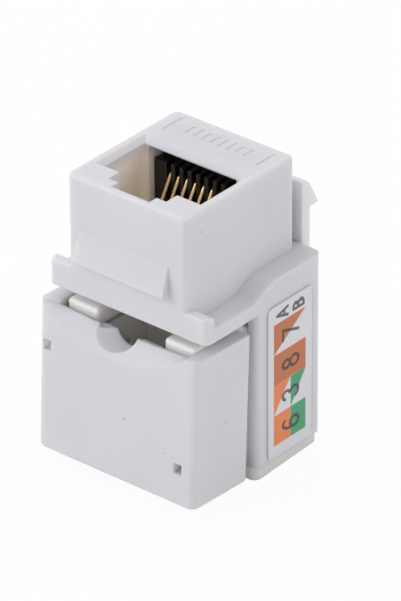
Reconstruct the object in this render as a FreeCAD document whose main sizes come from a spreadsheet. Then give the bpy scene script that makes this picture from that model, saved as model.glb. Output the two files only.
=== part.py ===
"""Punch-down keystone jack with a right-angle wiring block and a clip-on dust cap.

The part stands on its foot with the modular port facing up.
+Z is the direction in which a plug is pulled out, -Y is the side of the wiring towers
and of the fixed catch, +Y is the side of the sprung latch, +X is a label plate.
The origin lies on the surface under the foot, below the middle of the jack.
All sizes are in millimetres.
"""
import FreeCAD, Part
import math
import os

import Sketcher

DOC = FreeCAD.newDocument("keystone_jack")
SHEET = DOC.addObject("Spreadsheet::Sheet", "Dimensions")

DIMENSIONS = [
    # name, value, what it is
    ("origin_back", 9.0, "front face of the port block back to the origin"),
    ("foot_height", 1.52, "height of the wiring block's foot, with its gap to the plates"),
    ("foot_rise", 0.34, "taper of the foot's band from front to back"),
    ("sole_inset", 0.98, "flat sole in from the foot's band"),
    ("skirt_height", 17.0, "label plate below the flange"),
    ("flange_height", 2.74, "flange and ears"),
    ("block_rise", 9.95, "port block above the shoulder"),
    ("block_width", 14.6, "port block across, the width of the panel opening"),
    ("block_depth", 16.1, "port block from catch side to latch side"),
    ("side_width", 19.4, "across the flange and the label plates"),
    ("back_overhang", 1.0, "housing behind the port block"),
    ("block_corner", 0.72, "upright edges of the port block"),
    ("soft_edge", 0.3, "small moulded edge rounding"),
    ("ear_depth", 1.18, "thickness of the flange ears"),
    ("ear_corner", 0.69, "upright outer edges of the ears"),
    ("wing_dip", 1.32, "drop of the wing below the shoulder"),
    ("dip_end", 6.98, "front face to the start of the rise of the wing"),
    ("rise_run", 2.45, "run of the rise of the wing"),
    ("rise_round", 2.55, "rounding at both ends of the rise"),
    ("plate_front", 7.57, "front face to the front edge of the label plates"),
    ("plate_wall", 1.23, "label plate thickness"),
    ("cavity_width", 11.72, "plug cavity across"),
    ("cavity_start", 3.25, "front face to the plug cavity"),
    ("cavity_run", 6.47, "plug cavity from front to back"),
    ("cavity_drop", 11.3, "plug cavity depth from the mouth"),
    ("bevel_side", 0.59, "lead-in bevel at the sides of the mouth"),
    ("bevel_back", 0.88, "lead-in bevel at the back of the mouth"),
    ("bevel_drop", 0.44, "height of the lead-in bevel"),
    ("key_wide", 7.06, "wide step of the latch keyway"),
    ("key_narrow", 4.7, "narrow step of the latch keyway"),
    ("key_step", 1.57, "front to back size of the wide step"),
    ("key_wall", 0.65, "wall left in front of the keyway"),
    ("lip_height", 0.12, "straight part of the lip over the insert"),
    ("insert_width", 10.78, "insert pocket across"),
    ("insert_set_back", 0.78, "lip to the teeth of the insert"),
    ("insert_run", 3.43, "insert from its comb to its back"),
    ("fit_gap", 0.05, "assembly gap round seated pieces"),
    ("rib_width", 11.03, "fixed catch across"),
    ("rib_shift", 0.41, "offset of the fixed catch towards -X"),
    ("rib_out", 0.9, "fixed catch standing out of the block"),
    ("rib_top", 5.68, "mouth down to the top of the fixed catch"),
    ("rib_height", 3.14, "height of the fixed catch"),
    ("rib_lip", 0.34, "upright edge of the fixed catch"),
    ("latch_width", 14.3, "latch arm across"),
    ("latch_wall", 1.18, "latch arm thickness"),
    ("latch_gap", 0.2, "housing back to the latch arm"),
    ("latch_drop", 3.53, "mouth down to the top of the latch arm"),
    ("latch_bevel", 0.54, "bevel at the top of the latch arm"),
    ("hook_out", 1.27, "hook standing out of the arm"),
    ("hook_height", 2.45, "ramp of the hook"),
    ("root_drop", 1.13, "shoulder down to the line where the latch bends"),
    ("bend_gap", 0.06, "radial gap at the latch's bend line"),
    ("comb_drop", 2.2, "mouth down to the tops of the teeth"),
    ("comb_depth", 1.37, "teeth in front of the insert's back plate"),
    ("groove_width", 0.55, "slot between comb teeth"),
    ("groove_depth", 1.42, "depth of the comb slots"),
    ("contact_pitch", 1.02, "spacing of the eight contacts"),
    ("contact_wire", 0.36, "contact wire diameter"),
    ("contact_fold", 0.41, "radius of the contact's fold"),
    ("contact_lean", 31.0, "contact wire to the plug's path, degrees"),
    ("contact_reach", 5.29, "sloping part of a contact"),
    ("fold_drop", 3.82, "mouth down to the fold's axis"),
    ("fold_back", 0.59, "teeth's front to the fold's axis"),
    ("lead_gap", 0.04, "gap between the fold and the fixed lead"),
    ("lead_bend", 0.59, "radius of the lead's bend to the board"),
    ("lead_drop", 0.98, "flange underside down to the leads' holes"),
    ("board_gap", 0.1, "wiring block's back to the board"),
    ("board_clear", 0.93, "board to the rear cover"),
    ("board_side", 0.43, "label plates to the board"),
    ("board_under", 0.29, "flange underside down to the board"),
    ("board_thick", 1.18, "circuit board thickness"),
    ("board_base", 2.16, "surface up to the board's lower edge"),
    ("pin_out", 0.34, "pins standing out behind the board"),
    ("pin_gap", 0.06, "gap round the pins in the board"),
    ("tower_front", 0.5, "front face of the block to the tower fronts"),
    ("tower_width", 3.82, "each tower across"),
    ("tower_side", 0.58, "label plate's inside to the towers"),
    ("tower_top", 1.27, "flange underside down to the tower tops"),
    ("tower_base", 2.84, "surface up to the towers' lower ends"),
    ("tower_round", 0.4, "front and top edges of the towers"),
    ("slab_top", 1.86, "flange underside down to the base's top"),
    ("foot_in", 0.29, "foot in from the label plates"),
    ("row_pitch", 3.35, "spacing of the four wire rows"),
    ("row_first", 5.19, "surface up to the lowest wire row"),
    ("wire_slot", 0.49, "wire slot height"),
    ("wire_slot_run", 4.61, "wire slot depth from the tower front"),
    ("slot_mouth", 1.47, "flared mouth of a wire slot"),
    ("slot_flare", 0.59, "depth of the flared mouth"),
    ("blade_thick", 0.39, "insulation-displacement blade thickness"),
    ("blade_width", 2.25, "blade width"),
    ("blade_front", 2.74, "tower front to the blade's tip"),
    ("blade_slit", 0.27, "slit that grips the wire"),
    ("blade_slit_run", 4.12, "depth of the slit"),
    ("blade_pin", 0.49, "pin of a blade"),
    ("foot_corner", 0.78, "upright edges of the foot"),
    ("cover_wall", 1.37, "rear cover thickness"),
    ("cover_post", 0.69, "radius of the posts behind the board"),
    ("cap_depth", 7.74, "dust cap front to back"),
    ("cap_wall", 1.13, "dust cap wall"),
    ("cap_out", 1.15, "rim of the cap in front of the port block"),
    ("cap_top", 1.37, "flange underside down to the cap's rim"),
    ("cap_shift", 0.29, "offset of the cap towards -X"),
    ("cap_over", 0.1, "cap wider than the flange, on each side"),
    ("cap_tilt", 2.6, "lean of the cap on the towers, degrees"),
    ("cap_corner", 0.98, "outer upright edges of the cap"),
    ("cap_base_round", 0.5, "lower edges of the cap"),
    ("cap_wall_left", 1.85, "side wall of the cap at -X"),
    ("cap_wall_right", 1.45, "side wall of the cap at +X"),
    ("cap_under", 0.63, "towers' lower ends down to the cap's floor"),
    ("dish_in", 0.64, "dished rim in from the cap's sides"),
    ("dish_shift", 0.79, "middle of the dish from the cap's middle towards -X"),
    ("dish_drop", 3.38, "depth of the dish on the front"),
    ("rim_side", 0.4, "inner edge of the rim below its corners, at the sides"),
    ("rim_middle", 0.6, "inner edge of the rim below its corners, in the middle"),
    ("notch_radius", 3.18, "cable notch at the cap's front"),
    ("notch_shift", 1.38, "cable notch from the cap's middle towards -X, at the front"),
    ("notch_rise", 0.36, "centre of the cable notch above the rim, at the front"),
    ("throat_radius", 1.59, "cable notch at its inner end"),
    ("throat_drop", 0.78, "centre of the cable notch below the rim, at its inner end"),
    ("cable_pad", 1.03, "thickening behind the cable notch"),
    ("pad_width", 7.35, "width of the thickening"),
    ("pad_shift", 0.14, "middle of the thickening from the cap's middle towards +X"),
    ("pad_top", 1.15, "rim down to the top of the thickening"),
    ("pad_drop", 4.31, "height of the thickening"),
    ("window_width", 0.93, "snap windows across"),
    ("window_height", 1.08, "snap windows height"),
    ("window_in_left", 1.18, "left window from the cap's side"),
    ("window_in_right", 2.06, "right window from the cap's side"),
    ("window_high", 4.66, "rim down to the left window"),
    ("window_low", 12.05, "rim down to the right window"),
    ("label_inset", 1.38, "label in from the plate's front and back edges"),
    ("label_margin", 0.07, "label in from the plate's upper and lower ends"),
    ("label_corner", 0.78, "label corner radius"),
    ("label_thick", 0.08, "label thickness"),
    ("mark_depth", 0.05, "depth of the engraved marks"),
    ("mark_back", 2.36, "back of the block to the middle of the marks"),
    ("mark_width", 0.34, "width of the engraved marks"),
    ("mark_length", 2.84, "length of the end marks"),
    ("mark_span", 11.37, "distance between the end marks"),
]

for row, (alias, value, meaning) in enumerate(DIMENSIONS, start=1):
    SHEET.set(f"A{row}", meaning)
    SHEET.set(f"B{row}", str(value))
    SHEET.setAlias(f"B{row}", alias)


class Size:
    """A length that knows its value and the sheet expression it comes from."""

    def __init__(self, value, text):
        self.value = value
        self.text = text

    @staticmethod
    def of(other):
        return other if isinstance(other, Size) else Size(float(other), repr(float(other)))

    def __add__(self, other):
        other = Size.of(other)
        return Size(self.value + other.value, f"({self.text} + {other.text})")

    def __sub__(self, other):
        other = Size.of(other)
        return Size(self.value - other.value, f"({self.text} - {other.text})")

    def __mul__(self, other):
        other = Size.of(other)
        return Size(self.value * other.value, f"({self.text} * {other.text})")

    def __truediv__(self, other):
        other = Size.of(other)
        return Size(self.value / other.value, f"({self.text} / {other.text})")

    def __neg__(self):
        return Size(-self.value, f"(0 - {self.text})")

    def __radd__(self, other):
        return Size.of(other) + self

    def __rsub__(self, other):
        return Size.of(other) - self

    def __rmul__(self, other):
        return Size.of(other) * self


class Sheet:
    """The driving dimensions by name."""


D = Sheet()
for alias, value, meaning in DIMENSIONS:
    setattr(D, alias, Size(value, f"Dimensions.{alias}"))


# ---------------------------------------------------------------- planes shared by the pieces
X_BLOCK = D.block_width / 2
X_SIDE = D.side_width / 2
X_INSIDE = X_SIDE - D.plate_wall
Y_FRONT = -D.origin_back
Y_BLOCK_BACK = Y_FRONT + D.block_depth
Y_BACK = Y_BLOCK_BACK + D.back_overhang
Y_PLATE = Y_FRONT + D.plate_front
Y_CAVITY = Y_FRONT + D.cavity_start
Y_LIP = Y_CAVITY + D.cavity_run
Y_COMB = Y_LIP + D.insert_set_back
Z_FLANGE = D.foot_height + D.skirt_height
Z_SHOULDER = Z_FLANGE + D.flange_height
Z_TOP = Z_SHOULDER + D.block_rise
Z_FLOOR = Z_TOP - D.cavity_drop
Y_COVER = Y_BACK - D.cover_wall
Y_BOARD = Y_COVER - D.board_clear - D.board_thick
Y_SLAB_BACK = Y_BOARD - D.board_gap
X_TOWER = X_INSIDE - D.tower_side
X_CHANNEL = X_TOWER - D.tower_width
BEND_Y = Y_BACK + D.latch_gap + D.latch_wall / 2
BEND_Z = Z_SHOULDER - D.root_drop
FOLD_Y = Y_COMB + D.fold_back
FOLD_Z = Z_TOP - D.fold_drop
LEAD_Y = FOLD_Y + D.contact_fold
LEAD_Z = Z_FLANGE - D.lead_drop
OVER = 1.0  # how far a cutter reaches past the face it opens
SAME = 1e-4  # two places closer than this are one
CONTACTS = 8
ROWS = 4


# ---------------------------------------------------------------- building helpers
def bind(item, **sizes):
    """Bind properties to sheet expressions; a double underscore stands for a dot."""
    for name, size in sizes.items():
        item.setExpression(name.replace("__", "."), Size.of(size).text)
    return item


def place(item, x=0, y=0, z=0):
    return bind(item, Placement__Base__x=x, Placement__Base__y=y, Placement__Base__z=z)


def box(name, x, y, z):
    """A block between two values along each axis."""
    item = DOC.addObject("Part::Box", name)
    bind(item, Length=x[1] - Size.of(x[0]), Width=y[1] - Size.of(y[0]), Height=z[1] - Size.of(z[0]))
    return place(item, x[0], y[0], z[0])


def rod(name, radius, length, x, y, z, turn):
    """A cylinder from a point, along +Z turned by a rotation."""
    item = DOC.addObject("Part::Cylinder", name)
    item.Placement = FreeCAD.Placement(FreeCAD.Vector(), turn)
    bind(item, Radius=radius, Height=length)
    return place(item, x, y, z)


def fuse(name, items):
    item = DOC.addObject("Part::MultiFuse", name)
    item.Shapes = items
    item.Refine = True
    return item


def cut(name, base, tools):
    """Take every tool away from the base."""
    tool = tools[0] if len(tools) == 1 else fuse(f"{name}_tools", tools)
    item = DOC.addObject("Part::Cut", name)
    item.Base = base
    item.Tool = tool
    item.Refine = True
    return item


def round_edges(name, base, choose, radius):
    """Fillet the edges of base that choose() picks, with a radius from the sheet."""
    DOC.recompute()
    item = DOC.addObject("Part::Fillet", name)
    item.Base = base
    item.Edges = [
        (number, radius.value, radius.value)
        for number, edge in enumerate(base.Shape.Edges, start=1)
        if choose(edge)
    ]
    if not item.Edges:
        raise ValueError(f"{name} finds no edge to round")
    return item


def middle(edge):
    return edge.CenterOfMass


def runs_along(edge, axis):
    """True for a straight edge parallel to an axis given as x, y or z."""
    if not isinstance(edge.Curve, Part.Line):
        return False
    direction = edge.Curve.Direction
    return abs(abs(getattr(direction, axis)) - 1) < SAME


def near(value, target):
    return abs(value - Size.of(target).value) < SAME


def outline(name, plane, points):
    """A closed sketch through points, each held by its two coordinates.

    plane is YZ (sketch x along +Y, y along +Z) or XZ (sketch x along +X, y along +Z).
    """
    turns = {
        "YZ": FreeCAD.Rotation(FreeCAD.Vector(1, 1, 1), 120),
        "XZ": FreeCAD.Rotation(FreeCAD.Vector(1, 0, 0), 90),
    }
    sketch = DOC.addObject("Sketcher::SketchObject", name)
    sketch.Placement = FreeCAD.Placement(FreeCAD.Vector(), turns[plane])
    corners = [FreeCAD.Vector(Size.of(u).value, Size.of(v).value, 0) for u, v in points]
    count = len(corners)
    for number in range(count):
        sketch.addGeometry(Part.LineSegment(corners[number], corners[(number + 1) % count]))
    for number in range(count):
        sketch.addConstraint(Sketcher.Constraint("Coincident", number, 2, (number + 1) % count, 1))
    for number, (u, v) in enumerate(points):
        for kind, size in (("DistanceX", u), ("DistanceY", v)):
            size = Size.of(size)
            index = sketch.addConstraint(
                Sketcher.Constraint(kind, -1, 1, number, 1, size.value)
            )
            sketch.renameConstraint(index, f"{kind[-1].lower()}_{number + 1}")
            sketch.setExpression(f"Constraints[{index}]", size.text)
    return sketch


def extrude(name, sketch, length):
    """Carry a YZ or XZ outline both ways from its plane."""
    item = DOC.addObject("Part::Extrusion", name)
    item.Base = sketch
    item.DirMode = "Normal"
    item.Solid = True
    item.Symmetric = True
    return bind(item, LengthFwd=length)


TO_PLUS_X = FreeCAD.Rotation(FreeCAD.Vector(0, 1, 0), 90)
TO_PLUS_Y = FreeCAD.Rotation(FreeCAD.Vector(1, 0, 0), -90)
PARTS = []


def piece(item, label):
    """Name a finished sub-part, which becomes the node of that name."""
    item.Label = label
    PARTS.append(item)
    return item


def contact_x(number):
    return (number - (CONTACTS - 1) / 2) * D.contact_pitch


# ---------------------------------------------------------------- front housing
def port_block():
    """The port block: a rounded box that passes through the panel opening."""
    block = box("block_box", (-X_BLOCK, X_BLOCK), (Y_FRONT, Y_BLOCK_BACK), (Z_FLANGE, Z_TOP))
    block = round_edges("block_corners", block, lambda e: runs_along(e, "z"), D.block_corner)
    return round_edges("block_rim", block, lambda e: near(middle(e).z, Z_TOP), D.soft_edge)


def wings():
    """Flange, ears, shoulder and both label plates, as one profile carried across."""
    low = Z_SHOULDER - D.wing_dip
    ear_back = Y_FRONT + D.ear_depth
    dip_end = Y_FRONT + D.dip_end
    rise_end = dip_end + D.rise_run
    sketch = outline("wing_outline", "YZ", [
        (Y_FRONT, Z_FLANGE), (Y_FRONT, Z_SHOULDER), (ear_back, Z_SHOULDER), (ear_back, low),
        (dip_end, low), (rise_end, Z_SHOULDER), (Y_BACK, Z_SHOULDER),
        (Y_BACK, D.foot_height), (Y_PLATE, D.foot_height), (Y_PLATE, Z_FLANGE),
    ])
    solid = extrude("wing_solid", sketch, D.side_width)

    def at_rise(edge):
        point = middle(edge)
        across = runs_along(edge, "x")
        return across and (
            (near(point.y, dip_end) and near(point.z, low))
            or (near(point.y, rise_end) and near(point.z, Z_SHOULDER))
        )

    solid = round_edges("wing_rise", solid, at_rise, D.rise_round)
    solid = round_edges(
        "wing_corners", solid,
        lambda e: runs_along(e, "z") and near(abs(middle(e).x), X_SIDE)
        and not near(middle(e).y, ear_back),
        D.ear_corner,
    )
    solid = round_edges(
        "ear_edges", solid,
        lambda e: near(middle(e).z, Z_SHOULDER) and middle(e).y < ear_back.value + SAME,
        D.soft_edge,
    )
    inside = box("plate_inside", (-X_INSIDE, X_INSIDE), (Y_PLATE - OVER, Y_BACK + OVER),
                 (D.foot_height - OVER, Z_FLANGE))
    return cut("wing_shell", solid, [inside])


def fixed_catch():
    """The wedge that hooks under the panel's edge."""
    top = Z_TOP - D.rib_top
    base = top - D.rib_height
    front = Y_FRONT - D.rib_out
    inner = Y_FRONT + D.key_wall / 2
    sketch = outline("catch_outline", "YZ", [
        (inner, top), (Y_FRONT, top), (front, base + D.rib_lip), (front, base), (inner, base),
    ])
    return place(extrude("catch_ridge", sketch, D.rib_width), x=-D.rib_shift)


def mouth_bevel():
    """The lead-in round the mouth: wider at both sides and at the back than the cavity."""
    half = D.cavity_width / 2
    bevel = DOC.addObject("Part::Wedge", "mouth_bevel")
    bevel.Placement = FreeCAD.Placement(
        FreeCAD.Vector(), FreeCAD.Rotation(FreeCAD.Vector(1, 0, 0), 90))
    bind(bevel, Xmin=-half, Xmax=half, X2min=-half - D.bevel_side, X2max=half + D.bevel_side,
         Ymin=0, Ymax=D.bevel_drop, Zmin=-D.cavity_run, Zmax=0,
         Z2min=-D.cavity_run - D.bevel_back, Z2max=0)
    place(bevel, y=Y_CAVITY, z=Z_TOP - D.bevel_drop)
    above = box("mouth_over", (-half - D.bevel_side, half + D.bevel_side),
                (Y_CAVITY, Y_LIP + D.bevel_back), (Z_TOP, Z_TOP + OVER))
    return [bevel, above]


def port_hollows():
    """The plug cavity, the stepped keyway for the plug's latch and the insert's pocket."""
    half = D.cavity_width / 2
    cavity = box("cavity", (-half, half), (Y_CAVITY, Y_LIP), (Z_FLOOR, Z_TOP + OVER))
    wide = box("key_wide_cut", (-D.key_wide / 2, D.key_wide / 2),
               (Y_CAVITY - D.key_step, Y_CAVITY + OVER), (Z_FLOOR, Z_TOP + OVER))
    narrow = box("key_narrow_cut", (-D.key_narrow / 2, D.key_narrow / 2),
                 (Y_FRONT + D.key_wall, Y_CAVITY), (Z_FLOOR, Z_TOP + OVER))
    z_lip = Z_TOP - D.bevel_drop - D.lip_height
    pocket_half = D.insert_width / 2
    pocket = box("insert_pocket", (-pocket_half, pocket_half),
                 (Y_LIP - D.fit_gap, Y_COMB + D.insert_run), (Z_FLANGE - OVER, z_lip))
    wall = box("insert_throat_wall", (-pocket_half - OVER, pocket_half + OVER),
               (Y_LIP - 2 * D.fit_gap, Y_COMB - D.fit_gap), (Z_FLANGE - 2 * OVER, Z_FLOOR))
    return [cavity, wide, narrow, cut("insert_pocket_cut", pocket, [wall])]


def mark(name, centre, length):
    """One shallow mark on the top, along Y."""
    y = Y_BLOCK_BACK - D.mark_back
    return box(name, (centre - D.mark_width / 2, centre + D.mark_width / 2),
               (y - length / 2, y + length / 2), (Z_TOP - D.mark_depth, Z_TOP + OVER))


def top_marks():
    """A short mark over each contact between two long ones."""
    marks = [
        mark("mark_left", -D.mark_span / 2, D.mark_length),
        mark("mark_right", D.mark_span / 2, D.mark_length),
    ]
    for number in range(CONTACTS):
        marks.append(mark(f"mark_{number + 1}", contact_x(number), D.mark_length / 2))
    return marks


def build_front_housing():
    """Port block, flange, ears, label plates, fixed catch and latch root, in one moulding."""
    body = fuse("housing_body", [port_block(), wings()])
    root = box("latch_root", (-X_BLOCK, X_BLOCK), (Y_BACK - D.soft_edge, BEND_Y + D.latch_wall / 2),
               (Z_FLANGE, BEND_Z))
    body = fuse("housing_ribs", [body, fixed_catch(), root])
    seat = rod("latch_seat", D.latch_wall / 2 + D.bend_gap, D.block_width + 2 * OVER,
               -X_BLOCK - OVER, BEND_Y, BEND_Z, TO_PLUS_X)
    tools = port_hollows() + mouth_bevel() + [seat] + top_marks()
    return piece(cut("front_housing", body, tools), "front_housing")


# ---------------------------------------------------------------- latch arm
def build_latch_arm():
    """The sprung arm with its hook, ending in a round bead on the line where it bends."""
    front = Y_BACK + D.latch_gap
    back = front + D.latch_wall
    top = Z_TOP - D.latch_drop
    under = top - D.latch_bevel - D.hook_height
    sketch = outline("latch_outline", "YZ", [
        (front, BEND_Z), (front, top), (back - D.latch_bevel, top),
        (back, top - D.latch_bevel), (back + D.hook_out, under), (back, under), (back, BEND_Z),
    ])
    arm = extrude("latch_profile", sketch, D.latch_width)
    bead = rod("latch_bead", D.latch_wall / 2, D.latch_width, -D.latch_width / 2, BEND_Y, BEND_Z,
               TO_PLUS_X)
    return piece(fuse("latch_arm", [arm, bead]), "latch_arm")


# ---------------------------------------------------------------- contact insert and contacts
def build_contact_insert():
    """The black comb that holds the eight contacts behind the plug cavity."""
    half = D.insert_width / 2 - D.fit_gap
    top = Z_TOP - D.bevel_drop - D.lip_height - D.fit_gap
    comb_top = Z_TOP - D.comb_drop
    plate = box("insert_plate", (-half, half),
                (Y_COMB + D.comb_depth, Y_COMB + D.insert_run - D.fit_gap),
                (Z_FLANGE + D.fit_gap, top))
    comb = box("insert_comb", (-half, half), (Y_COMB, Y_COMB + D.comb_depth),
               (Z_FLANGE + D.fit_gap, comb_top))
    grooves = [
        box(f"comb_groove_{number + 1}",
            (contact_x(number) - D.groove_width / 2, contact_x(number) + D.groove_width / 2),
            (Y_COMB - OVER, Y_COMB + D.groove_depth),
            (Z_FLANGE - OVER, comb_top + D.fit_gap))
        for number in range(CONTACTS)
    ]
    return piece(cut("contact_insert", fuse("insert_body", [plate, comb]), grooves),
                 "contact_insert")


def build_port_contacts():
    """Eight gold-plated wires that slope into the plug's path from their fold."""
    lean = math.radians(D.contact_lean.value)
    radius = D.contact_wire.value / 2
    fold = D.contact_fold.value
    reach = D.contact_reach.value
    for number in range(CONTACTS):
        centre = FreeCAD.Vector(contact_x(number).value, FOLD_Y.value, FOLD_Z.value)
        back = centre + FreeCAD.Vector(0, fold, 0)
        crown = centre + FreeCAD.Vector(0, fold * math.sin(lean / 2), fold * math.cos(lean / 2))
        front = centre + FreeCAD.Vector(0, -fold * math.cos(lean), fold * math.sin(lean))
        tip = front + FreeCAD.Vector(0, -reach * math.sin(lean), -reach * math.cos(lean))
        path = Part.Wire([Part.Arc(back, crown, front).toShape(),
                          Part.LineSegment(front, tip).toShape()])
        ring = Part.Wire([Part.Circle(back, FreeCAD.Vector(0, 0, 1), radius).toShape()])
        wire = path.makePipeShell([ring], True, False)
        item = DOC.addObject("Part::Feature", f"port_contact_{number + 1}")
        item.Shape = wire.fuse(Part.makeSphere(radius, tip)).removeSplitter()
        piece(item, f"port_contact_{number + 1}")


def build_contact_leads():
    """The fixed ends of the eight contacts, down the comb and into the board."""
    radius = D.contact_wire.value / 2
    bend = D.lead_bend.value
    low = LEAD_Z.value
    end = (Y_BOARD + D.board_thick + D.pin_out).value
    leads = []
    for number in range(CONTACTS):
        x = contact_x(number).value
        start = FreeCAD.Vector(x, LEAD_Y.value, FOLD_Z.value - D.lead_gap.value)
        knee = FreeCAD.Vector(x, LEAD_Y.value, low + bend)
        turn = FreeCAD.Vector(x, LEAD_Y.value + bend * (1 - math.cos(math.pi / 4)),
                              low + bend * (1 - math.sin(math.pi / 4)))
        level = FreeCAD.Vector(x, LEAD_Y.value + bend, low)
        path = Part.Wire([Part.LineSegment(start, knee).toShape(),
                          Part.Arc(knee, turn, level).toShape(),
                          Part.LineSegment(level, FreeCAD.Vector(x, end, low)).toShape()])
        ring = Part.Wire([Part.Circle(start, FreeCAD.Vector(0, 0, 1), radius).toShape()])
        leads.append(path.makePipeShell([ring], True, False))
    item = DOC.addObject("Part::Feature", "contact_leads")
    item.Shape = Part.makeCompound(leads)
    piece(item, "contact_leads")


# ---------------------------------------------------------------- wiring block
def row_z(row):
    return D.row_first + row * D.row_pitch


def blade_x(side):
    return side * (X_TOWER - D.tower_width / 2)


def build_idc_block():
    """Base, foot and two towers with four wire slots each, in one moulding."""
    y_slab = Y_PLATE + D.fit_gap
    slab_half = X_INSIDE - D.fit_gap
    slab_top = Z_FLANGE - D.slab_top
    foot_top = D.foot_height - D.fit_gap
    y_tower = Y_FRONT + D.tower_front
    tower_top = Z_FLANGE - D.tower_top
    foot_back = Y_BACK - D.fit_gap
    sketch = outline("foot_outline", "YZ", [
        (Y_PLATE, 0), (Y_PLATE, foot_top), (foot_back, foot_top), (foot_back, D.foot_rise),
    ])
    foot_half = X_SIDE - D.foot_in
    foot = extrude("foot_solid", sketch, 2 * foot_half)
    foot = round_edges("foot_rounded", foot, lambda e: runs_along(e, "z"), D.foot_corner)
    sole_half = foot_half - D.sole_inset
    sole = box("foot_sole", (-sole_half, sole_half),
               (Y_PLATE + D.sole_inset, foot_back - D.sole_inset), (0, foot_top / 2))
    slab = box("idc_slab", (-slab_half, slab_half), (y_slab, Y_SLAB_BACK),
               (foot_top - D.fit_gap, slab_top))
    towers = []
    cuts = []
    for side, sign in (("left", -1), ("right", 1)):
        inner = sign * X_CHANNEL
        outer = sign * X_TOWER
        low, high = (outer, inner) if sign < 0 else (inner, outer)
        tower = box(f"tower_{side}", (low, high), (y_tower, y_slab + OVER),
                    (D.tower_base, tower_top))
        towers.append(round_edges(
            f"tower_{side}_rounded", tower,
            lambda e: near(middle(e).y, y_tower) or near(middle(e).z, tower_top),
            D.tower_round,
        ))
        for row in range(ROWS):
            z = row_z(row)
            name = f"{side}_{row + 1}"
            cuts.append(box(f"wire_slot_{name}", (low - OVER / 2, high + OVER / 2),
                            (y_tower - OVER, y_tower + D.wire_slot_run),
                            (z - D.wire_slot / 2, z + D.wire_slot / 2)))
            flare = outline(f"slot_mouth_{name}", "YZ", [
                (y_tower - D.slot_flare, z - D.slot_mouth + D.wire_slot / 2),
                (y_tower - D.slot_flare, z + D.slot_mouth - D.wire_slot / 2),
                (y_tower + D.slot_flare, z + D.wire_slot / 2),
                (y_tower + D.slot_flare, z - D.wire_slot / 2),
            ])
            mouth = extrude(f"slot_flare_{name}", flare, D.tower_width + OVER)
            place(mouth, x=blade_x(sign))
            cuts.append(mouth)
            slit_half = D.blade_thick / 2 + D.fit_gap
            x = blade_x(sign)
            cuts.append(box(f"blade_slot_{name}", (x - slit_half, x + slit_half),
                            (y_tower + D.blade_front - D.fit_gap, Y_SLAB_BACK + OVER),
                            (z - D.blade_width / 2 - D.fit_gap,
                             z + D.blade_width / 2 + D.fit_gap)))
    body = fuse("idc_body", [foot, sole, slab] + towers)
    return piece(cut("idc_block", body, cuts), "idc_block")


def build_idc_blades():
    """Eight forked blades, one in each wire slot, with a pin into the board."""
    tip = Y_FRONT + D.tower_front + D.blade_front
    heel = Y_SLAB_BACK
    for side, sign in (("left", -1), ("right", 1)):
        x = blade_x(sign)
        for row in range(ROWS):
            z = row_z(row)
            name = f"idc_blade_{side}_{row + 1}"
            plate = box(f"{name}_plate", (x - D.blade_thick / 2, x + D.blade_thick / 2),
                        (tip, heel), (z - D.blade_width / 2, z + D.blade_width / 2))
            pin = box(f"{name}_pin", (x - D.blade_thick / 2, x + D.blade_thick / 2),
                      (heel, Y_BOARD + D.board_thick + D.pin_out),
                      (z - D.blade_pin / 2, z + D.blade_pin / 2))
            slit = box(f"{name}_slit", (x - D.blade_thick, x + D.blade_thick),
                       (tip - OVER, tip + D.blade_slit_run),
                       (z - D.blade_slit / 2, z + D.blade_slit / 2))
            piece(cut(name, fuse(f"{name}_body", [plate, pin]), [slit]), name)


def build_circuit_board():
    """The board that carries the blades and the contact leads."""
    half = X_INSIDE - D.board_side
    board = box("board_plate", (-half, half), (Y_BOARD, Y_BOARD + D.board_thick),
                (D.board_base, Z_FLANGE - D.board_under))
    holes = []
    for number in range(CONTACTS):
        holes.append(rod(f"lead_hole_{number + 1}", D.contact_wire / 2 + D.pin_gap,
                         D.board_thick + 2 * OVER, contact_x(number), Y_BOARD - OVER, LEAD_Z,
                         TO_PLUS_Y))
    for side, sign in (("left", -1), ("right", 1)):
        for row in range(ROWS):
            holes.append(rod(f"blade_hole_{side}_{row + 1}", D.blade_pin / 2 + 2 * D.pin_gap,
                             D.board_thick + 2 * OVER, blade_x(sign), Y_BOARD - OVER, row_z(row),
                             TO_PLUS_Y))
    return piece(cut("circuit_board", board, holes), "circuit_board")


def build_rear_cover():
    """The cover that closes the back between the label plates and holds the board."""
    half = X_INSIDE - D.fit_gap
    plate = box("cover_plate", (-half, half), (Y_COVER, Y_BACK),
                (D.foot_height, Z_FLANGE - D.fit_gap))
    plate = round_edges(
        "cover_edges", plate,
        lambda e: near(middle(e).y, Y_BACK), D.soft_edge)
    posts = []
    for side, sign in (("left", -1), ("right", 1)):
        for level, z in (("low", row_z(0) + D.row_pitch / 2), ("high", row_z(2) + D.row_pitch / 2)):
            posts.append(rod(f"cover_post_{side}_{level}", D.cover_post,
                             D.board_clear + D.cover_wall / 2, sign * X_CHANNEL,
                             Y_BOARD + D.board_thick, z, TO_PLUS_Y))
    return piece(fuse("rear_cover", [plate] + posts), "rear_cover")


# ---------------------------------------------------------------- labels
def build_labels():
    """A rounded sticker on each label plate."""
    z = (D.foot_height + D.label_margin, Z_FLANGE - D.label_margin)
    for side, sign in (("left", -1), ("right", 1)):
        face = sign * X_SIDE
        low, high = (face - D.label_thick, face) if sign < 0 else (face, face + D.label_thick)
        sticker = box(f"label_{side}_sheet", (low, high),
                      (Y_PLATE + D.label_inset, Y_BACK - D.label_inset), z)
        rounded = round_edges(f"label_{side}", sticker, lambda e: runs_along(e, "x"),
                              D.label_corner)
        piece(rounded, f"label_{side}")


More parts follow.
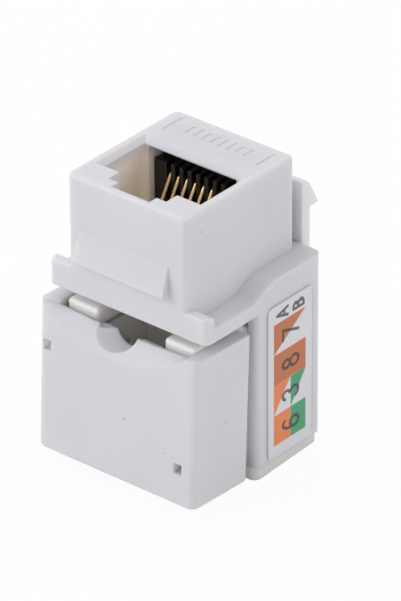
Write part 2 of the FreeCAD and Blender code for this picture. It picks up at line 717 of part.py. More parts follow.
# ---------------------------------------------------------------- dust cap
def bowed_wire(y, middle_x, half, side_z, low_z):
    """A closed outline across the rim: an arc that hangs between its sides, and a flat top."""
    left = FreeCAD.Vector(middle_x - half, y, side_z)
    low = FreeCAD.Vector(middle_x, y, low_z)
    right = FreeCAD.Vector(middle_x + half, y, side_z)
    right_top = FreeCAD.Vector(middle_x + half, y, OVER)
    left_top = FreeCAD.Vector(middle_x - half, y, OVER)
    return Part.Wire([
        Part.Arc(left, low, right).toShape(),
        Part.LineSegment(right, right_top).toShape(),
        Part.LineSegment(right_top, left_top).toShape(),
        Part.LineSegment(left_top, left).toShape(),
    ])


def rim_dish():
    """What the dished rim leaves out: an arc on the front that turns almost straight inside."""
    wall = D.cap_wall.value
    half = (X_SIDE + D.cap_over).value
    inner_half = half - (D.cap_wall_left + D.cap_wall_right).value / 2
    inner_middle = (D.cap_wall_left - D.cap_wall_right).value / 2
    outer = (-D.dish_shift.value, half - D.dish_in.value, 0, -D.dish_drop.value)
    inner = (inner_middle, inner_half, -D.rim_side.value, -D.rim_middle.value)
    dish = DOC.addObject("Part::Feature", "cap_dish")
    dish.Shape = Part.makeLoft([
        bowed_wire(-OVER, *outer),
        bowed_wire(0, *outer),
        bowed_wire(wall, *inner),
        bowed_wire(D.cap_depth.value, *inner),
    ], True, True)
    return dish


def cable_notch():
    """A funnel for the cable, from the cap's front to the inner end of its thickening."""
    turn = FreeCAD.Rotation(FreeCAD.Vector(1, 0, 0), 90)
    rings = []
    inside = D.cap_wall + D.cable_pad
    for name, radius, x, y, z in (
        ("notch_mouth", D.notch_radius, -D.notch_shift, -OVER, D.notch_rise),
        ("notch_ring", D.notch_radius, -D.notch_shift, 0, D.notch_rise),
        ("throat_ring", D.throat_radius, 0, inside, -D.throat_drop),
        ("throat_end", D.throat_radius, 0, inside + OVER, -D.throat_drop),
    ):
        ring = DOC.addObject("Part::Circle", name)
        ring.Placement = FreeCAD.Placement(FreeCAD.Vector(), turn)
        bind(ring, Radius=radius)
        rings.append(place(ring, x, y, z))
    notch = DOC.addObject("Part::Loft", "cap_notch")
    notch.Sections = rings
    notch.Solid = True
    notch.Ruled = True
    return notch


def build_dust_cap():
    """The cap over the wiring towers: a box open at its top and towards the housing.

    It is drawn about the middle of its rim's front edge and then leaned on the towers.
    """
    half = X_SIDE + D.cap_over
    rim = Z_FLANGE - D.cap_top
    height = rim - D.tower_base + D.cap_under + D.cap_wall
    shell = box("cap_box", (-half, half), (0, D.cap_depth), (-height, 0))
    shell = round_edges(
        "cap_corners", shell, lambda e: runs_along(e, "z") and near(middle(e).y, 0), D.cap_corner)
    shell = round_edges(
        "cap_base", shell,
        lambda e: near(middle(e).z, -height) and not near(middle(e).y, D.cap_depth),
        D.cap_base_round,
    )
    hollow = box("cap_hollow", (D.cap_wall_left - half, half - D.cap_wall_right),
                 (D.cap_wall, D.cap_depth + OVER), (D.cap_wall - height, OVER))
    shell = cut("cap_shell", shell, [hollow])
    pad = box("cap_pad", (D.pad_shift - D.pad_width / 2, D.pad_shift + D.pad_width / 2),
              (D.cap_wall - D.soft_edge, D.cap_wall + D.cable_pad), (-D.pad_drop, -D.pad_top))
    shell = fuse("cap_with_pad", [shell, pad])
    windows = []
    for name, x, z in (("left", -half + D.window_in_left, -D.window_high),
                       ("right", half - D.window_in_right, -D.window_low)):
        windows.append(box(f"cap_window_{name}",
                           (x - D.window_width / 2, x + D.window_width / 2),
                           (-OVER, D.cap_wall + D.cap_wall / 2),
                           (z - D.window_height / 2, z + D.window_height / 2)))
    cap = cut("dust_cap", shell, [rim_dish(), cable_notch()] + windows)
    lean = FreeCAD.Rotation(FreeCAD.Vector(-1, 0, 0), D.cap_tilt.value)
    cap.Placement = FreeCAD.Placement(FreeCAD.Vector(), lean)
    place(cap, -D.cap_shift, Y_FRONT - D.cap_out, rim)
    return piece(cap, "dust_cap")


# ---------------------------------------------------------------- build, check and write
def check(items):
    """Stop on any feature that failed, and on any sub-part that isn't sound solids."""
    for item in DOC.Objects:
        if "Invalid" in item.State or "Error" in item.State:
            raise ValueError(f"{item.Name} failed: {item.State}")
    for item in items:
        shape = item.Shape
        if shape.isNull() or not shape.isValid() or not shape.Solids:
            raise ValueError(f"{item.Label} has no sound solid")


def main():
    DOC.recompute()
    build_front_housing()
    build_latch_arm()
    build_contact_insert()
    build_port_contacts()
    build_contact_leads()
    build_idc_block()
    build_idc_blades()
    build_circuit_board()
    build_rear_cover()
    build_labels()
    build_dust_cap()
    DOC.recompute()
    check(PARTS)
    os.makedirs("parts", exist_ok=True)
    for item in PARTS:
        item.Shape.exportStep(f"parts/{item.Label}.step")
        bounds = item.Shape.BoundBox
        print(f"{item.Label:22s} {len(item.Shape.Solids)} solid(s) {item.Shape.Volume:9.2f} mm3 "
              f"x {bounds.XMin:.2f}..{bounds.XMax:.2f} y {bounds.YMin:.2f}..{bounds.YMax:.2f} "
              f"z {bounds.ZMin:.2f}..{bounds.ZMax:.2f}")


main()
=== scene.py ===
"""Materials, labels, stage and camera for a punch-down keystone jack.

The frame gives every solid. This add-on finishes their surfaces as moulded plastic, plated
wire and printed labels, and sets them on a pale floor in soft light.
"""
import math

import bpy
from bpy.props import FloatProperty, FloatVectorProperty, PointerProperty
from mathutils import Matrix, Vector


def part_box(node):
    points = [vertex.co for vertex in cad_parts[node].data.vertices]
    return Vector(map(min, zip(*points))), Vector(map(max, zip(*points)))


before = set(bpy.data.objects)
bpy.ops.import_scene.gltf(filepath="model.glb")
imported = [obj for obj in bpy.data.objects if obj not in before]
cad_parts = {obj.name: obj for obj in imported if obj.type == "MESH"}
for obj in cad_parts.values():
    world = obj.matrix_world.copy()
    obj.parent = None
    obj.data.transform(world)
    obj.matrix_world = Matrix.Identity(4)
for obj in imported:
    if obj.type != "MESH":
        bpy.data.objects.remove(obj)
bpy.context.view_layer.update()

bl_info = {
    "name": "Keystone Jack Looks",
    "version": (1, 0, 0),
    "blender": (4, 5, 0),
    "location": "View3D > Sidebar > Keystone",
    "description": "Finishes and stages a punch-down keystone jack",
    "category": "Object",
}

MM = 0.001

TIN = (0.62, 0.6, 0.56)
TIN_WORN = (0.74, 0.72, 0.68)
BOARD = (0.02, 0.13, 0.05)
BOARD_WEAVE = (0.03, 0.18, 0.07)
# Painted shade: the dark band along each label's edge, standing in for the shade at the film's
# cut edge.
EDGE_SHADE = (0.2, 0.2, 0.22)
WHITE = (1.0, 1.0, 1.0)


# ---------------------------------------------------------------- shader expressions
class Value:
    """A number socket that takes Python's operators, each adding a Math node."""

    def __init__(self, shader, socket):
        self.shader = shader
        self.socket = socket

    def math(self, operation, *others, clamp=False):
        node = self.shader.node(
            "ShaderNodeMath", {"operation": operation, "use_clamp": clamp},
            dict(enumerate((self, *others))))
        return Value(self.shader, node.outputs[0])

    def __add__(self, other):
        return self.math("ADD", other)

    def __radd__(self, other):
        return self.math("ADD", other)

    def __sub__(self, other):
        return self.math("SUBTRACT", other)

    def __rsub__(self, other):
        return (self * -1.0) + other

    def __mul__(self, other):
        return self.math("MULTIPLY", other)

    def __rmul__(self, other):
        return self.math("MULTIPLY", other)

    def __truediv__(self, other):
        return self.math("DIVIDE", other)

    def root(self):
        return self.math("SQRT")

    def abs(self):
        return self.math("ABSOLUTE")

    def max(self, other):
        return self.math("MAXIMUM", other)

    def clamp(self):
        return self.math("MULTIPLY", 1.0, clamp=True)

    def above(self, edge, soft):
        """0 below the edge and 1 above it, over a soft band."""
        return ((self - edge) * (1.0 / soft) + 0.5).clamp()

    def below(self, edge, soft):
        return ((self - edge) * (-1.0 / soft) + 0.5).clamp()

    def inside(self, low, high, soft):
        """1 between two values, with soft ends."""
        return (self - (low + high) / 2).abs().below((high - low) / 2, soft)


class Shader:
    """One node material, written through expressions. Its places are in millimetres."""

    def __init__(self, name):
        self.material = bpy.data.materials.new(name)
        self.material.use_nodes = True
        self.tree = self.material.node_tree
        self.surface = self.tree.nodes["Principled BSDF"]
        self.place = self.node("ShaderNodeTexCoord").outputs["Object"]
        split = self.node("ShaderNodeSeparateXYZ", inputs={"Vector": self.place})
        self.x, self.y, self.z = (Value(self, out) / MM for out in split.outputs)

    def feed(self, socket, value):
        if isinstance(value, Value):
            value = value.socket
        if isinstance(value, bpy.types.NodeSocket):
            self.tree.links.new(value, socket)
        else:
            socket.default_value = value

    def node(self, kind, settings=None, inputs=None):
        """Any node: its settings first, then values or links for its sockets."""
        node = self.tree.nodes.new(kind)
        for name, value in (settings or {}).items():
            setattr(node, name, value)
        for name, value in (inputs or {}).items():
            self.feed(node.inputs[name], value)
        return node

    def scaled(self, stretch):
        """The place in millimetres, each axis times its own factor."""
        return self.node("ShaderNodeMapping", inputs={
            "Vector": self.place, "Scale": [factor / MM for factor in stretch]}).outputs[0]

    def noise(self, scale, detail=2.0, roughness=0.5, stretch=(1, 1, 1)):
        """Fractal noise from 0 to 1, with scale in cycles per millimetre."""
        texture = self.node("ShaderNodeTexNoise", inputs={
            "Vector": self.scaled([scale * axis for axis in stretch]), "Scale": 1.0,
            "Detail": detail, "Roughness": roughness})
        return Value(self, texture.outputs["Fac"])

    def pits(self, scale):
        """Distance to the nearest of many scattered points, in their mean spacing."""
        texture = self.node("ShaderNodeTexVoronoi", inputs={
            "Vector": self.scaled([scale] * 3), "Scale": 1.0})
        return Value(self, texture.outputs["Distance"])

    def near(self, point, radius, soft):
        """1 within a radius of a point in millimetres."""
        gap = self.node("ShaderNodeVectorMath", {"operation": "DISTANCE"}, {
            0: self.place, 1: [axis * MM for axis in point]})
        return (Value(self, gap.outputs["Value"]) / MM).below(radius, soft)

    def mix(self, factor, first, second):
        """A colour between two colours."""
        return self.node("ShaderNodeMix", {"data_type": "RGBA"}, {
            0: factor, 6: first, 7: second}).outputs[2]

    def soft_edges(self, radius):
        """A normal that rounds sharp edges by a radius in millimetres."""
        return self.node("ShaderNodeBevel", {"samples": 6}, {"Radius": radius * MM}).outputs[0]

    def bump(self, height, strength, depth, normal=None):
        """A normal from a height, with its depth in millimetres."""
        inputs = {"Strength": strength, "Distance": depth * MM, "Height": height}
        if normal is not None:
            inputs["Normal"] = normal
        return self.node("ShaderNodeBump", inputs=inputs).outputs["Normal"]

    def set(self, **sockets):
        """Sockets of the surface shader; an underscore stands for a space."""
        for name, value in sockets.items():
            self.feed(self.surface.inputs[name.replace("_", " ")], value)

    def dress(self, *nodes):
        """Give the material to solids of the frame."""
        for name in nodes:
            materials = bpy.data.objects[name].data.materials
            materials.clear()
            materials.append(self.material)


def rgb(colour, shade=1.0):
    return (*[channel * shade for channel in colour], 1.0)


# ---------------------------------------------------------------- settings
def colour_setting(name, description, default):
    return FloatVectorProperty(name=name, description=description, subtype="COLOR", size=3,
                               min=0.0, max=1.0, default=default)


class KEYSTONE_Settings(bpy.types.PropertyGroup):
    white: colour_setting("Housing white", "Moulded plastic of housing, latch and cap",
                          (0.70, 0.695, 0.735))
    # Painted light: a tone lighter than the housing white, painted deep inside the port where it
    # would be in shade.
    port: colour_setting("Port walls", "Painted light on plastic deep inside the port",
                         (0.97, 0.87, 0.80))
    cream: colour_setting("Wiring block", "Moulded plastic of the wiring block",
                          (0.74, 0.72, 0.685))
    # Painted light: a tone lighter than the plastic, painted between the towers, inside the dust
    # cap and round its two windows where they would be in shade.
    channel: colour_setting("Wire channel", "Painted light on plastic between the towers",
                            (0.97, 0.94, 0.9))
    # Painted light: the latch arm is a lighter copy of the housing white, making up for the
    # shade it stands in.
    latch: colour_setting("Latch", "Moulded plastic of the thin latch arm",
                          (0.80, 0.792, 0.828))
    black: colour_setting("Contact insert", "Plastic of the contact comb", (0.006, 0.006, 0.007))
    gold: colour_setting("Contacts", "Plating of the contacts", (0.86, 0.62, 0.32))
    paper: colour_setting("Label", "Blank label", (0.735, 0.725, 0.765))
    ink: colour_setting("Label ink", "Figures on the labels", (0.05, 0.045, 0.05))
    brown: colour_setting("Brown pair", "Field of the brown pair", (0.50, 0.157, 0.062))
    orange: colour_setting("Orange pair", "Field of the orange pair", (0.745, 0.22, 0.07))
    green: colour_setting("Green pair", "Field of the green pair", (0.05, 0.32, 0.148))
    blue: colour_setting("Blue pair", "Field of the blue pair", (0.09, 0.17, 0.42))
    dust: colour_setting("Dust", "Specks of dust on the plastic", (0.16, 0.13, 0.11))
    floor: colour_setting("Floor", "Colour of the floor", (0.9, 0.9, 0.9))
    lens: FloatProperty(name="Lens", description="Focal length", default=371.4, unit="CAMERA")
    turn: FloatProperty(name="View turn", description="Azimuth of the view",
                        default=math.radians(39.8), subtype="ANGLE")
    lift: FloatProperty(name="View lift", description="Elevation of the view",
                        default=math.radians(30.25), subtype="ANGLE")
    roll: FloatProperty(name="View roll", description="Roll of the camera",
                        default=math.radians(-0.344), subtype="ANGLE")
    distance: FloatProperty(name="Distance", description="Camera to the point looked past",
                            default=0.57689, unit="LENGTH")
    sky: FloatProperty(name="Surround", description="Strength of the light from all round",
                       default=0.7, min=0.0)
    key: FloatProperty(name="Left light", description="Power of the soft light on the left",
                       default=2.03, min=0.0, unit="POWER")
    side: FloatProperty(name="Right light", description="Power of the soft light on the right",
                        default=0.78, min=0.0, unit="POWER")
    back: FloatProperty(name="Back light", description="Power of the soft light behind",
                        default=1.04, min=0.0, unit="POWER")


def settings():
    return bpy.context.scene.keystone


# ---------------------------------------------------------------- moulded plastic
# Specks of dust: place on the jack and radius, in millimetres.
SPECKS = (
    (-7.22, -10.25, 15.05, 0.06),
    (-2.83, -10.18, 22.98, 0.06),
    (-0.62, -10.25, 14.99, 0.07),
    (0.78, -10.56, 8.06, 0.08),
    (1.07, -10.18, 20.93, 0.05),
    (5.88, -10.64, 6.30, 0.06),
    (7.30, -6.84, 29.12, 0.07),
    (9.51, -5.97, 8.91, 0.07),
    (-5.74, -10.18, 19.82, 0.06),
)
# Hollows given a lighter tone as painted light, standing in for light that reaches into them:
# their spans in x, y and z, in millimetres.
PORT_LIGHT_BOX = ((-6.3, 6.3), (-8.6, 1.4), (19.0, 30.0))
CHANNEL_LIGHT_BOX = ((-8.3, 8.3), (-8.9, -1.3), (2.0, 18.2))
CAP_LIGHT_BOX = ((-9.6, 8.6), (-9.85, 0.0), (1.6, 12.6))
# Middles of the cap's two small windows, and how far the painted light reaches round them.
LIT_WINDOWS = ((-8.99, -9.65, 12.56), (7.32, -9.97, 5.34))
WINDOW_LIGHT_REACH = 0.66
# Cycles per millimetre of each texture.
FLOW_SCALE = 0.13
STREAK_SCALE = 0.8
GRAIN_SCALE = 7.0
PIT_SCALE = 2.2
# How far light goes into the plastic, in millimetres, and the share of it by colour.
GLOW_DEPTH = 2.2
GLOW_COLOUR = (1.0, 0.8, 0.62)
# Width in millimetres over which a tone fades at a hollow's sides and at its ends, round a
# window and round a speck.
HOLLOW_SOFT = 0.3
HOLLOW_END_SOFT = 1.2
WINDOW_SOFT = 0.1
SPECK_SOFT = 0.05


def plastic(name, colour, roughness=0.4, edge=0.16, dusty=False, glow=0.0, hollow_light=None,
            lit_holes=()):
    """Moulded plastic.

    Its tone drifts in broad flow marks, its skin has a fine spark texture with a few pits,
    its gloss is uneven and its edges are slightly rounded. glow is how much light goes
    through its walls. A hollow given as a box and a colour is painted lighter there, as
    painted light standing in for light that reaches into it; the small windows given with
    it get the same painted light.
    """
    made = Shader(name)
    flow = made.noise(FLOW_SCALE, detail=3.0)
    streak = made.noise(STREAK_SCALE, detail=3.0, stretch=(1, 1, 0.12))
    grain = made.noise(GRAIN_SCALE, detail=3.0)
    pits = made.pits(PIT_SCALE).below(0.06, 0.05)
    tone = made.mix((flow - 0.3) * 1.4, rgb(colour), rgb(colour, 0.955))
    tone = made.mix(streak.above(0.62, 0.2) * 0.18, tone, rgb(colour, 0.9))
    tone = made.mix(pits * 0.25, tone, rgb(colour, 0.75))
    # Painted light: inside the hollow's box and round the listed windows the tone turns to a
    # lighter colour where the plastic would be in shade.
    if hollow_light is not None:
        (across, along, upright), inside = hollow_light
        deep = made.x.inside(*across, HOLLOW_SOFT) * made.y.inside(*along, HOLLOW_SOFT)
        deep = deep * made.z.inside(*upright, HOLLOW_END_SOFT)
        for hole in lit_holes:
            deep = deep.max(made.near(hole, WINDOW_LIGHT_REACH, WINDOW_SOFT))
        tone = made.mix(deep, tone, rgb(inside))
    if dusty:
        for *place, radius in SPECKS:
            tone = made.mix(made.near(place, radius, SPECK_SOFT), tone, rgb(settings().dust))
    made.set(
        Base_Color=tone,
        Roughness=flow * 0.14 + grain * 0.06 + roughness,
        IOR=1.5,
        Subsurface_Weight=glow,
        Subsurface_Radius=GLOW_COLOUR,
        Subsurface_Scale=GLOW_DEPTH * MM,
        Normal=made.bump(grain * 0.4 + flow * 2.0 - pits, 0.14, 0.03, made.soft_edges(edge)),
    )
    return made


class KEYSTONE_OT_housing(bpy.types.Operator):
    """Finish the housing, the latch and the rear cover"""
    bl_idname = "keystone.housing"
    bl_label = "Housing"

    def execute(self, context):
        chosen = settings()
        # The port's hollow gets painted light.
        plastic("moulded_white", chosen.white, dusty=True, glow=0.45,
                hollow_light=(PORT_LIGHT_BOX, chosen.port)).dress("front_housing", "rear_cover")
        # The latch's lighter white is painted light.
        plastic("moulded_latch_lit", chosen.latch, glow=0.45).dress("latch_arm")
        return {"FINISHED"}


class KEYSTONE_OT_dust_cap(bpy.types.Operator):
    """Finish the clip-on dust cap"""
    bl_idname = "keystone.dust_cap"
    bl_label = "Dust Cap"

    def execute(self, context):
        chosen = settings()
        # The inside of the cap and its two windows get painted light.
        plastic("moulded_cap_white", chosen.white, roughness=0.36, edge=0.22, dusty=True,
                glow=0.45, hollow_light=(CAP_LIGHT_BOX, chosen.channel), lit_holes=LIT_WINDOWS).dress("dust_cap")
        return {"FINISHED"}


class KEYSTONE_OT_wiring_block(bpy.types.Operator):
    """Finish the cream wiring block, its blades and the circuit board"""
    bl_idname = "keystone.wiring_block"
    bl_label = "Wiring Block"

    def execute(self, context):
        chosen = settings()
        # The channel between the towers gets painted light.
        plastic("moulded_cream", chosen.cream, edge=0.2, glow=0.2,
                hollow_light=(CHANNEL_LIGHT_BOX, chosen.channel)).dress("idc_block")
        tin = Shader("tinned_blade")
        wear = tin.noise(2.0, detail=4.0, stretch=(1, 0.2, 1))
        tin.set(Base_Color=tin.mix(wear, rgb(TIN), rgb(TIN_WORN)),
                Metallic=1.0, Roughness=wear * 0.2 + 0.22)
        tin.dress(*[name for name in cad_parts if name.startswith("idc_blade")])
        board = Shader("board_lacquer")
        weave = board.noise(3.0, detail=1.0)
        board.set(Base_Color=board.mix(weave, rgb(BOARD), rgb(BOARD_WEAVE)),
                  Roughness=0.35, Normal=board.bump(weave, 0.2, 0.02))
        board.dress("circuit_board")
        return {"FINISHED"}


class KEYSTONE_OT_contacts(bpy.types.Operator):
    """Finish the black comb and the plated contact wires"""
    bl_idname = "keystone.contacts"
    bl_label = "Insert and Contacts"

    def execute(self, context):
        chosen = settings()
        plastic("moulded_black", chosen.black, roughness=0.34, edge=0.1).dress("contact_insert")
        gold = Shader("gold_plating")
        wear = gold.noise(1.5, detail=4.0)
        gold.set(Base_Color=gold.mix(wear, rgb(chosen.gold), rgb(chosen.gold, 0.84)),
                 Metallic=1.0, Roughness=wear * 0.16 + 0.2,
                 Normal=gold.bump(gold.noise(6.0, stretch=(1, 1, 0.1)), 0.1, 0.01))
        gold.dress("contact_leads", *[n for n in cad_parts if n.startswith("port_contact")])
        return {"FINISHED"}


# ---------------------------------------------------------------- printed labels
PRINT_SOFT = 0.09  # width in millimetres over which a printed edge fades


class Print:
    """A drawing on a label: u runs up the label and v runs across it, in millimetres."""

    def __init__(self, u, v, thickness):
        self.u = u
        self.v = v
        self.half = thickness / 2
        self.soft = PRINT_SOFT

    def field(self, u0, u1, v0, v1):
        """A rectangle."""
        return self.u.inside(u0, u1, self.soft) * self.v.inside(v0, v1, self.soft)

    def wedge(self, u0, u1, v0, v1):
        """The half of a rectangle on the side of its corner (u1, v0)."""
        slope = (v1 - v0) / (u1 - u0)
        side = (self.v - v0) - (self.u - u0) * slope
        return self.field(u0, u1, v0, v1) * side.below(0.0, self.soft * 1.5)

    def line(self, start, end):
        """A stroke: everything within half its thickness of a straight run."""
        du, dv = end[0] - start[0], end[1] - start[1]
        u = self.u - start[0]
        v = self.v - start[1]
        along = ((u * du + v * dv) / (du * du + dv * dv)).clamp()
        u = u - along * du
        v = v - along * dv
        return (u * u + v * v).root().below(self.half, self.soft)

    def bowl(self, centre, radii, gap=None):
        """An oval stroke; gap is a corner (u side, u, v side, v) that it leaves out."""
        u = (self.u - centre[0]) / radii[0]
        v = (self.v - centre[1]) / radii[1]
        size = min(radii)
        made = (((u * u + v * v).root() - 1.0) * size).abs().below(self.half, self.soft)
        if gap is not None:
            u_side, u_edge, v_side, v_edge = gap
            out_u = (self.u - u_edge) * u_side
            out_v = (self.v - v_edge) * v_side
            made = made * (1.0 - out_u.above(0.0, self.soft) * out_v.above(0.0, self.soft))
        return made


# Strokes of each figure in a cell 1.3 wide and 2.6 high: lines by their ends, bowls by
# centre, radii and the corner left open.
FIGURES = {
    "1": {"lines": (((0.65, 0.12), (0.65, 2.48)), ((0.65, 0.14), (0.3, 0.5)))},
    "2": {"lines": (((1.08, 1.08), (0.14, 2.42)), ((0.14, 2.44), (1.2, 2.44))),
          "bowls": (((0.64, 0.7), (0.52, 0.56), (-1, 0.66, 1, 0.62)),)},
    "3": {"bowls": (((0.62, 0.68), (0.46, 0.53), (-1, 0.62, 1, 0.62)),
                    ((0.62, 1.83), (0.56, 0.62), (-1, 0.62, -1, 1.9)))},
    "4": {"lines": (((0.88, 0.12), (0.1, 1.75)), ((0.1, 1.75), (1.24, 1.75)),
                    ((0.9, 0.12), (0.9, 2.48)))},
    "5": {"lines": (((0.22, 0.17), (1.12, 0.17)), ((0.22, 0.17), (0.16, 1.22))),
          "bowls": (((0.58, 1.72), (0.56, 0.74), (-1, 0.36, -1, 2.0)),)},
    "6": {"lines": (((1.14, 0.42), (0.86, 0.14)), ((0.86, 0.14), (0.5, 0.24)),
                    ((0.5, 0.24), (0.2, 0.84)), ((0.2, 0.84), (0.11, 1.8))),
          "bowls": (((0.65, 1.86), (0.54, 0.62), None),)},
    "7": {"lines": (((0.1, 0.17), (1.24, 0.17)), ((1.2, 0.2), (0.5, 2.46)))},
    "8": {"bowls": (((0.65, 0.68), (0.44, 0.53), None), ((0.65, 1.85), (0.54, 0.62), None))},
    "A": {"lines": (((0.05, 1.72), (0.5, 0.1)), ((0.5, 0.1), (0.95, 1.72)),
                    ((0.2, 1.2), (0.8, 1.2)))},
    "B": {"lines": (((0.16, 0.12), (0.16, 1.68)),),
          "bowls": (((0.28, 0.48), (0.48, 0.37), (-1, 0.22, 1, -9.0)),
                    ((0.28, 1.26), (0.56, 0.42), (-1, 0.22, 1, -9.0)))},
}


def draw(art, figure, u0, v0):
    """One figure with the upper left corner of its cell at (u0, v0)."""
    strokes = FIGURES[figure]
    parts = [art.line((u0 + a[0], v0 + a[1]), (u0 + b[0], v0 + b[1]))
             for a, b in strokes.get("lines", ())]
    for centre, radii, gap in strokes.get("bowls", ()):
        if gap is not None:
            gap = (gap[0], gap[1] + u0, gap[2], gap[3] + v0)
        parts.append(art.bowl((centre[0] + u0, centre[1] + v0), radii, gap))
    made = parts[0]
    for part in parts[1:]:
        made = made.max(part)
    return made


# The print's layout in millimetres: the ends of the four rows up the label, the outer
# sides of the fields across it, the line between the two wiring orders, where the upper
# wedge ends, and the corners of the figures' and letters' cells.
ROWS = (3.0, 6.35, 9.7, 13.05, 16.4)
FIELD_TOP = 0.85
FIELD_MIDDLE = 3.4
FIELD_WEDGE = 3.35
FIELD_BASE = 5.65
FIGURE_ROWS = (3.92, 7.27, 10.7, 14.02)
FIGURE_TOP = 2.08
LETTER_ROW = 16.72
LETTER_TOPS = (("A", 1.22), ("B", 3.66))
STROKE = 0.32
INK_COVER = 0.88
FIELD_COVER = 0.97
EDGE_SHADE_WIDTH = 0.1  # width of the painted shade along the film's edge
EDGE_SHADE_COVER = 0.35


def label(name, node, u_of, v_of, whole, upper, lower, figures):
    """A printed film label: four rows of fields for the wire pairs, each with its figure.

    u_of and v_of take the shader and give the place up the label and across it. whole is
    the colour of the two rows that both wiring orders share; upper and lower colour the
    halves of the other two rows.
    """
    chosen = settings()
    made = Shader(name)
    art = Print(u_of(made), v_of(made), STROKE)
    fade = made.noise(1.1, detail=4.0)
    screen = made.noise(12.0, detail=1.0)
    tone = made.mix(fade * 0.5, rgb(chosen.paper), rgb(chosen.paper, 0.95))
    low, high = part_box(node)
    # Painted shade: a thin dark band just inside the film's edge, standing in for the shade at
    # its cut edge.
    film = art.field(low[2] / MM + EDGE_SHADE_WIDTH, high[2] / MM - EDGE_SHADE_WIDTH,
                     low[1] / MM + EDGE_SHADE_WIDTH, high[1] / MM - EDGE_SHADE_WIDTH)
    tone = made.mix((1.0 - film) * EDGE_SHADE_COVER, tone, rgb(EDGE_SHADE))
    fields = (
        (art.field(*ROWS[0:2], FIELD_TOP, FIELD_MIDDLE), upper),
        (art.field(*ROWS[0:2], FIELD_MIDDLE, FIELD_BASE), lower),
        (art.wedge(*ROWS[1:3], FIELD_TOP, FIELD_WEDGE), upper),
        (art.wedge(*ROWS[1:3], FIELD_MIDDLE, FIELD_BASE), lower),
        (art.field(*ROWS[2:4], FIELD_TOP, FIELD_BASE), whole),
        (art.wedge(*ROWS[3:5], FIELD_TOP, FIELD_BASE), whole),
    )
    for mask, colour in fields:
        inked = made.mix(fade * 0.6 + screen * 0.3, rgb(colour), rgb(colour, 1.18))
        tone = made.mix(mask * FIELD_COVER, tone, inked)
    for figure, u0 in zip(figures, FIGURE_ROWS):
        tone = made.mix(draw(art, figure, u0, FIGURE_TOP) * INK_COVER, tone, rgb(chosen.ink))
    for letter, v0 in LETTER_TOPS:
        tone = made.mix(draw(art, letter, LETTER_ROW, v0) * INK_COVER, tone, rgb(chosen.ink))
    made.set(Base_Color=tone, Roughness=fade * 0.15 + 0.36, Specular_IOR_Level=0.3,
             Normal=made.bump(screen + fade * 3.0, 0.08, 0.02, made.soft_edges(0.05)))
    made.dress(node)


class KEYSTONE_OT_labels(bpy.types.Operator):
    """Print the wiring labels on both sides"""
    bl_idname = "keystone.labels"
    bl_label = "Labels"

    def execute(self, context):
        chosen = settings()
        low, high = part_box("label_left")
        across = (low[1] + high[1]) / MM
        label("label_print_right", "label_right", lambda m: m.z, lambda m: m.y,
              chosen.brown, chosen.orange, chosen.green, "6387")
        label("label_print_left", "label_left", lambda m: m.z, lambda m: across - m.y,
              chosen.blue, chosen.green, chosen.orange, "2145")
        return {"FINISHED"}


# ---------------------------------------------------------------- stage
FLOOR_SIDE = 3.0
FLOOR_SHOW = 0.94  # how much of the floor's own white the camera sees
LIGHT_SIZE = 0.4
LIGHT_DISTANCE = 0.85
JACK_MIDDLE = Vector((0.0, 0.0, 0.016))
VIEW_AIM = Vector((0.0, -8.784, 31.21)) * MM  # a point on the front of the mouth
VIEW_RIGHT = 6.825 * MM  # the camera from that point's sight line
VIEW_DOWN = 9.723 * MM


def area_light(name, power, azimuth, elevation):
    """A round soft light that looks at the jack; azimuth 0 stands in front of it, at -Y."""
    a, e = math.radians(azimuth), math.radians(elevation)
    away = Vector((math.sin(a) * math.cos(e), -math.cos(a) * math.cos(e), math.sin(e)))
    lamp = bpy.data.lights.new(name, "AREA")
    lamp.shape = "DISK"
    lamp.size = LIGHT_SIZE
    lamp.energy = power
    holder = bpy.data.objects.new(name, lamp)
    holder.matrix_world = (Matrix.Translation(JACK_MIDDLE + away * LIGHT_DISTANCE)
                           @ away.to_track_quat("Z", "Y").to_matrix().to_4x4())
    bpy.context.scene.collection.objects.link(holder)


def pale_floor(colour):
    """A matt floor whose own white shows to the camera, with the shadow left on it."""
    made = Shader("pale_floor")
    made.set(Base_Color=rgb(colour), Roughness=0.9)
    rays = made.node("ShaderNodeLightPath")
    seen = Value(made, rays.outputs["Is Camera Ray"])
    for other in ("Is Glossy Ray", "Is Transmission Ray"):
        seen = seen.max(Value(made, rays.outputs[other]))
    white = made.node("ShaderNodeEmission", inputs={"Color": rgb(WHITE), "Strength": 1.0})
    mixed = made.node("ShaderNodeMixShader", inputs={
        0: seen * FLOOR_SHOW, 1: made.surface.outputs[0], 2: white.outputs[0]})
    out = made.tree.nodes["Material Output"]
    made.tree.links.new(mixed.outputs[0], out.inputs["Surface"])
    return made.material


def surround(strength):
    """Even light from all round, white where it is seen directly."""
    world = bpy.data.worlds.new("studio")
    world.use_nodes = True
    tree = world.node_tree
    rays = tree.nodes.new("ShaderNodeLightPath")
    seen = tree.nodes.new("ShaderNodeMath")
    seen.operation = "MAXIMUM"
    tree.links.new(rays.outputs["Is Camera Ray"], seen.inputs[0])
    tree.links.new(rays.outputs["Is Transmission Ray"], seen.inputs[1])
    soft = tree.nodes["Background"]
    soft.inputs["Color"].default_value = rgb(WHITE)
    soft.inputs["Strength"].default_value = strength
    plain = tree.nodes.new("ShaderNodeBackground")
    plain.inputs["Color"].default_value = rgb(WHITE)
    mixed = tree.nodes.new("ShaderNodeMixShader")
    tree.links.new(seen.outputs[0], mixed.inputs[0])
    tree.links.new(soft.outputs[0], mixed.inputs[1])
    tree.links.new(plain.outputs[0], mixed.inputs[2])
    tree.links.new(mixed.outputs[0], tree.nodes["World Output"].inputs["Surface"])
    bpy.context.scene.world = world


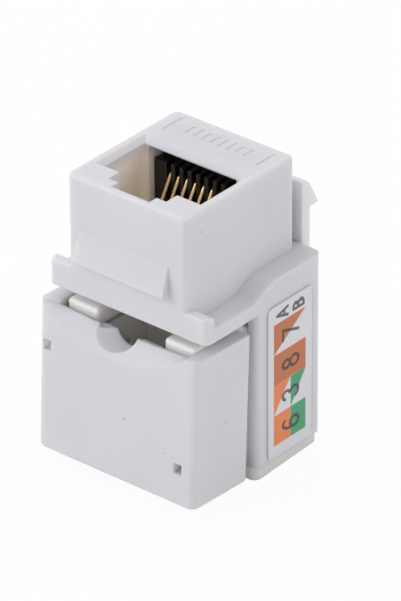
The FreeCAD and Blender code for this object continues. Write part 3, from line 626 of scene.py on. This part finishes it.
def view_camera(chosen):
    """A camera that looks down on the port from the front right."""
    a, e, r = chosen.turn, chosen.lift, chosen.roll
    forward = Vector((-math.sin(a) * math.cos(e), math.cos(a) * math.cos(e), -math.sin(e)))
    level = Vector((math.cos(a), math.sin(a), 0.0))
    above = level.cross(forward)
    right = level * math.cos(r) + above * math.sin(r)
    up = above * math.cos(r) - level * math.sin(r)
    lens = bpy.data.cameras.new("camera")
    lens.sensor_width = 36.0
    lens.lens = chosen.lens
    lens.clip_start = 0.05
    lens.clip_end = 5.0
    camera = bpy.data.objects.new("camera", lens)
    place = VIEW_AIM + right * VIEW_RIGHT - up * VIEW_DOWN - forward * chosen.distance
    turned = Matrix((right, up, -forward)).transposed().to_4x4()
    camera.matrix_world = Matrix.Translation(place) @ turned
    return camera


class KEYSTONE_OT_stage(bpy.types.Operator):
    """Floor, backdrop, soft lights and camera"""
    bl_idname = "keystone.stage"
    bl_label = "Stage"

    def execute(self, context):
        chosen = settings()
        scene = context.scene
        scene.view_settings.view_transform = "Standard"

        half = FLOOR_SIDE / 2
        floor = bpy.data.meshes.new("floor")
        floor.from_pydata([(-half, -half, 0), (half, -half, 0), (half, half, 0),
                           (-half, half, 0)], [], [(0, 1, 2, 3)])
        ground = bpy.data.objects.new("floor", floor)
        scene.collection.objects.link(ground)
        floor.materials.append(pale_floor(chosen.floor))
        surround(chosen.sky)
        area_light("light_left", chosen.key, -40.0, 30.0)
        area_light("light_right", chosen.side, 125.0, 25.0)
        area_light("light_back", chosen.back, -120.0, 50.0)

        scene.camera = view_camera(chosen)
        scene.collection.objects.link(scene.camera)
        return {"FINISHED"}


class KEYSTONE_PT_panel(bpy.types.Panel):
    """Buttons for each group of pieces"""
    bl_idname = "KEYSTONE_PT_panel"
    bl_label = "Keystone Jack"
    bl_space_type = "VIEW_3D"
    bl_region_type = "UI"
    bl_category = "Keystone"

    def draw(self, context):
        for operator in OPERATORS:
            self.layout.operator(operator.bl_idname)
        for name in KEYSTONE_Settings.__annotations__:
            self.layout.prop(settings(), name)


OPERATORS = (KEYSTONE_OT_stage, KEYSTONE_OT_housing, KEYSTONE_OT_dust_cap,
             KEYSTONE_OT_wiring_block, KEYSTONE_OT_contacts, KEYSTONE_OT_labels)
CLASSES = (KEYSTONE_Settings, *OPERATORS, KEYSTONE_PT_panel)


def register():
    for item in CLASSES:
        bpy.utils.register_class(item)
    bpy.types.Scene.keystone = PointerProperty(type=KEYSTONE_Settings)


def unregister():
    del bpy.types.Scene.keystone
    for item in reversed(CLASSES):
        bpy.utils.unregister_class(item)


def main():
    register()
    bpy.ops.keystone.stage()
    bpy.ops.keystone.housing()
    bpy.ops.keystone.dust_cap()
    bpy.ops.keystone.wiring_block()
    bpy.ops.keystone.contacts()
    bpy.ops.keystone.labels()


if __name__ == "__main__":
    main()
